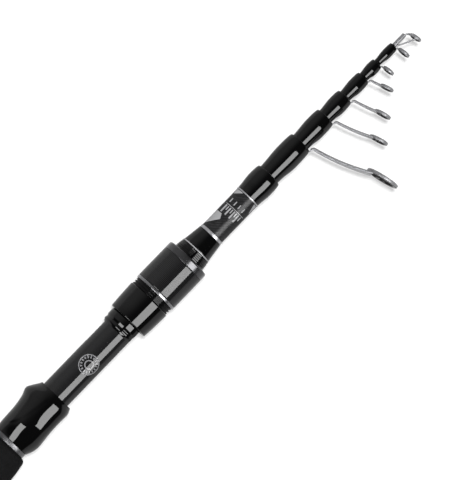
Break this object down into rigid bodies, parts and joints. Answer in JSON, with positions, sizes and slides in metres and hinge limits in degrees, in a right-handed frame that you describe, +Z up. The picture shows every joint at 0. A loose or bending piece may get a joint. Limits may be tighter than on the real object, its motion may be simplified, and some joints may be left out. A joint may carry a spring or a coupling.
{
  "type": "telescopic fishing rod",
  "caption": "Slim tapered rod of nested tubes that draw out one from another, with line guides, a screw-clamp reel seat and foam grips",
  "frame": {"origin": "centre of the flat butt end face", "axes": "+X along the rod from butt to tip, -Y towards the line guides and reel foot, +Z up with the rod lying down"},
  "size_m": [0.53, 0.0607, 0.0266],
  "materials": {
    "carbon_blank": "woven carbon under satin varnish",
    "eva_foam": "matte closed-cell foam",
    "epoxy_wrap": "thread under gloss epoxy",
    "silver_trim": "polished",
    "grey_trim": "satin gunmetal",
    "seat_graphite": "moulded, satin",
    "slip_black": "matte",
    "nut_carbon": "woven carbon under gloss",
    "arbor_board": "raw",
    "cap_black": "satin",
    "bush_metal": "turned",
    "seal_rubber": "soft",
    "guide_steel": "polished stainless",
    "guide_ceramic": "polished"
  },
  "bodies": {
    "handle": {"butt_blank": "carbon_blank", "butt_bush": "bush_metal", "rear_grip": "eva_foam", "rear_winding": "epoxy_wrap", "rear_trim_rings": "silver_trim", "split_grip_winding": "epoxy_wrap", "split_grip_trim_ring": "silver_trim", "split_grip": "eva_foam", "grip_collar": "grey_trim", "seat_body": "seat_graphite", "seat_arbors": "arbor_board", "fixed_hood": "seat_graphite", "front_collar": "seat_graphite", "front_trim_line": "silver_trim", "front_winding": "epoxy_wrap", "front_trim_band": "silver_trim", "label_trim_ring": "silver_trim", "butt_mouth_wrap": "epoxy_wrap"},
    "section_2": {"section_2_tube": "carbon_blank", "section_2_wrap": "epoxy_wrap", "guide_1_frame": "guide_steel", "guide_1_ring": "guide_ceramic"},
    "section_3": {"section_3_tube": "carbon_blank", "section_3_wrap": "epoxy_wrap", "guide_2_frame": "guide_steel", "guide_2_ring": "guide_ceramic"},
    "section_4": {"section_4_tube": "carbon_blank", "section_4_wrap": "epoxy_wrap", "guide_3_frame": "guide_steel", "guide_3_ring": "guide_ceramic"},
    "section_5": {"section_5_tube": "carbon_blank", "section_5_wrap": "epoxy_wrap", "guide_4_frame": "guide_steel", "guide_4_ring": "guide_ceramic"},
    "tip": {"tip_section": "carbon_blank", "tip_top_frame": "guide_steel", "tip_top_ring": "guide_ceramic"},
    "float_guide_1": {"float_guide_1_sleeve": "carbon_blank", "float_guide_1_wrap": "epoxy_wrap", "float_guide_1_frame": "guide_steel", "float_guide_1_ring": "guide_ceramic"},
    "float_guide_2": {"float_guide_2_sleeve": "carbon_blank", "float_guide_2_wrap": "epoxy_wrap", "float_guide_2_frame": "guide_steel", "float_guide_2_ring": "guide_ceramic"},
    "hood": {"moving_hood": "seat_graphite", "slip_ring": "slip_black"},
    "nut": {"lock_nut": "seat_graphite", "nut_sleeve": "nut_carbon", "nut_trim_ring": "silver_trim", "nut_bezel": "grey_trim"},
    "gasket": {"butt_gasket": "seal_rubber"},
    "cap": {"butt_cap": "cap_black", "stack_pad": "seal_rubber"}
  },
  "joints": [
    {"name": "section_2_slide", "type": "slide", "parent": "handle", "child": "section_2", "axis": [1, 0, 0], "range_m": [0, 0.3392]},
    {"name": "section_3_slide", "type": "slide", "parent": "section_2", "child": "section_3", "axis": [1, 0, 0], "range_m": [0, 0.3604]},
    {"name": "section_4_slide", "type": "slide", "parent": "section_3", "child": "section_4", "axis": [1, 0, 0], "range_m": [0, 0.3772]},
    {"name": "section_5_slide", "type": "slide", "parent": "section_4", "child": "section_5", "axis": [1, 0, 0], "range_m": [0, 0.3904]},
    {"name": "tip_slide", "type": "slide", "parent": "section_5", "child": "tip", "axis": [1, 0, 0], "range_m": [0, 0.403]},
    {"name": "float_guide_1_slide", "type": "slide", "parent": "tip", "child": "float_guide_1", "axis": [-1, 0, 0], "range_m": [0, 0.27188]},
    {"name": "float_guide_2_slide", "type": "slide", "parent": "tip", "child": "float_guide_2", "axis": [-1, 0, 0], "range_m": [0, 0.10735]},
    {"name": "hood_slide", "type": "slide", "parent": "handle", "child": "hood", "axis": [-1, 0, 0], "range_m": [0, 0.01201]},
    {"name": "nut_spin", "type": "hinge", "parent": "hood", "child": "nut", "pos_m": [0.367, 0, 0], "axis": [-1, 0, 0], "range_deg": [0, 2160]},
    {"name": "cap_slide", "type": "slide", "parent": "handle", "child": "gasket", "axis": [-1, 0, 0], "range_m": [0, 0.00901]},
    {"name": "cap_spin", "type": "hinge", "parent": "gasket", "child": "cap", "pos_m": [0.003, 0, 0], "axis": [-1, 0, 0], "range_deg": [0, 2160]}
  ],
  "couplings": [
    {"joint": "float_guide_1_slide", "follows": "tip_slide", "ratio": 0.67461},
    {"joint": "float_guide_2_slide", "follows": "tip_slide", "ratio": 0.26636},
    {"joint": "hood_slide", "follows": "nut_spin", "m_per_rad": 0.00031831},
    {"joint": "cap_slide", "follows": "cap_spin", "m_per_rad": 0.00023873}
  ]
}
